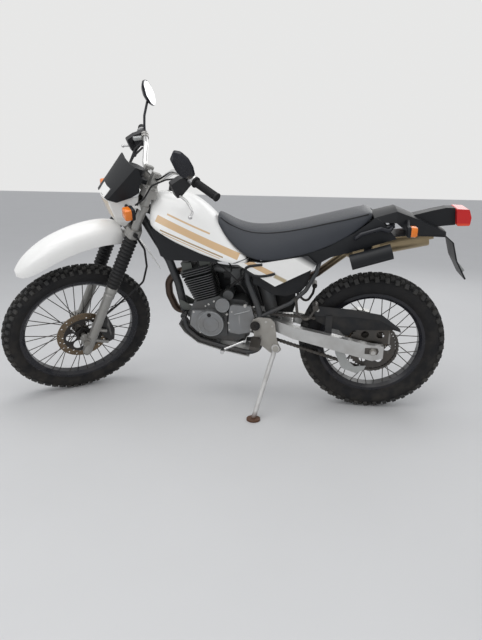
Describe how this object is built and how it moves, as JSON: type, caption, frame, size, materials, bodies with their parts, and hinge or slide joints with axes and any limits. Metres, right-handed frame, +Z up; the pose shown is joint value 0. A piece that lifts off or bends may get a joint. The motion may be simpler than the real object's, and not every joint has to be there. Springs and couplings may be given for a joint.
{
  "type": "dual sport motorcycle",
  "caption": "Dual sport motorcycle with long travel fork, high fender, knobbly wire wheels, single cylinder engine and flat seat, leaning on its side stand.",
  "frame": {"origin": "on the ground at the middle of the bounding box of the parked bike", "axes": "+X to the front wheel, +Y to the rider's left, +Z up; the bike leans to +Y on its stand"},
  "size_m": [2.0002, 0.6642, 1.4331],
  "materials": {
    "alloy": "brushed",
    "black_plastic": "satin",
    "bracket_paint": "satin",
    "chrome": "polished",
    "disc_steel": "ground",
    "engine_dark": "cast",
    "engine_silver": "satin",
    "exhaust_steel": "heat tinted",
    "frame_paint": "satin",
    "lamp_glass": "clear",
    "mirror": "gloss",
    "orange_lens": "gloss",
    "red_lens": "gloss",
    "rim_black": "satin",
    "rubber": "matte",
    "seat_vinyl": "matte",
    "spoke_steel": "dull",
    "steel": "brushed",
    "tyre": "matte",
    "white_plastic": "gloss"
  },
  "bodies": {
    "chassis": {"airbox": "black_plastic", "carburettor": "engine_silver", "chain": "steel", "chain_guards": "black_plastic", "crankcase": "engine_silver", "cylinder": "engine_dark", "engine_covers": "engine_silver", "exhaust": "exhaust_steel", "filler_cap": "black_plastic", "footpegs": "steel", "frame": "frame_paint", "front_sprocket": "steel", "fuel_tank": "white_plastic", "grab_rails": "rim_black", "pedals": "steel", "pivot_brackets": "bracket_paint", "rear_axle": "steel", "rear_caliper": "steel", "rear_fender": "black_plastic", "rear_indicators": "orange_lens", "seat": "seat_vinyl", "shock": "steel", "side_covers": "white_plastic", "skid_plate": "alloy", "swingarm": "alloy", "tail_cover": "black_plastic", "tail_lamp": "red_lens", "tank_panels": "black_plastic", "tool_tube": "black_plastic"},
    "steering": {"bar_cables": "rubber", "brake_hose": "rubber", "cowl": "white_plastic", "fork_clamps": "alloy", "fork_gaiters": "rubber", "fork_legs": "engine_silver", "front_axle": "steel", "front_caliper": "steel", "front_fender": "white_plastic", "front_indicators": "orange_lens", "grips": "rubber", "hand_controls": "chrome", "handlebar": "steel", "headlamp": "lamp_glass", "instruments": "black_plastic", "mirrors": "mirror", "visor": "black_plastic"},
    "front_wheel": {"front_disc": "disc_steel", "front_hub": "spoke_steel", "front_rim": "rim_black", "front_tyre": "tyre"},
    "rear_wheel": {"rear_disc": "disc_steel", "rear_hub": "spoke_steel", "rear_rim": "rim_black", "rear_sprocket": "steel", "rear_tyre": "tyre"},
    "side_stand": {"side_stand": "chrome"}
  },
  "joints": [
    {"name": "steering", "type": "hinge", "parent": "chassis", "child": "steering", "pos_m": [0.80923, -0.13184, -0.00398], "axis": [-0.4268, 0.1173, 0.8967], "range_deg": [-77.8, 0]},
    {"name": "front_wheel_spin", "type": "hinge", "parent": "steering", "child": "front_wheel", "pos_m": [0.70389, -0.04817, 0.32732], "axis": [-0.5679, 0.7369, -0.3667], "continuous": true},
    {"name": "rear_wheel_spin", "type": "hinge", "parent": "chassis", "child": "rear_wheel", "pos_m": [-0.64844, -0.08931, 0.32121], "axis": [0, 0.9916, -0.1297], "continuous": true},
    {"name": "side_stand_fold", "type": "hinge", "parent": "chassis", "child": "side_stand", "pos_m": [-0.22346, 0.021, 0.301], "axis": [-0.0954, 0.9881, 0.1211], "range_deg": [0, 95]}
  ]
}
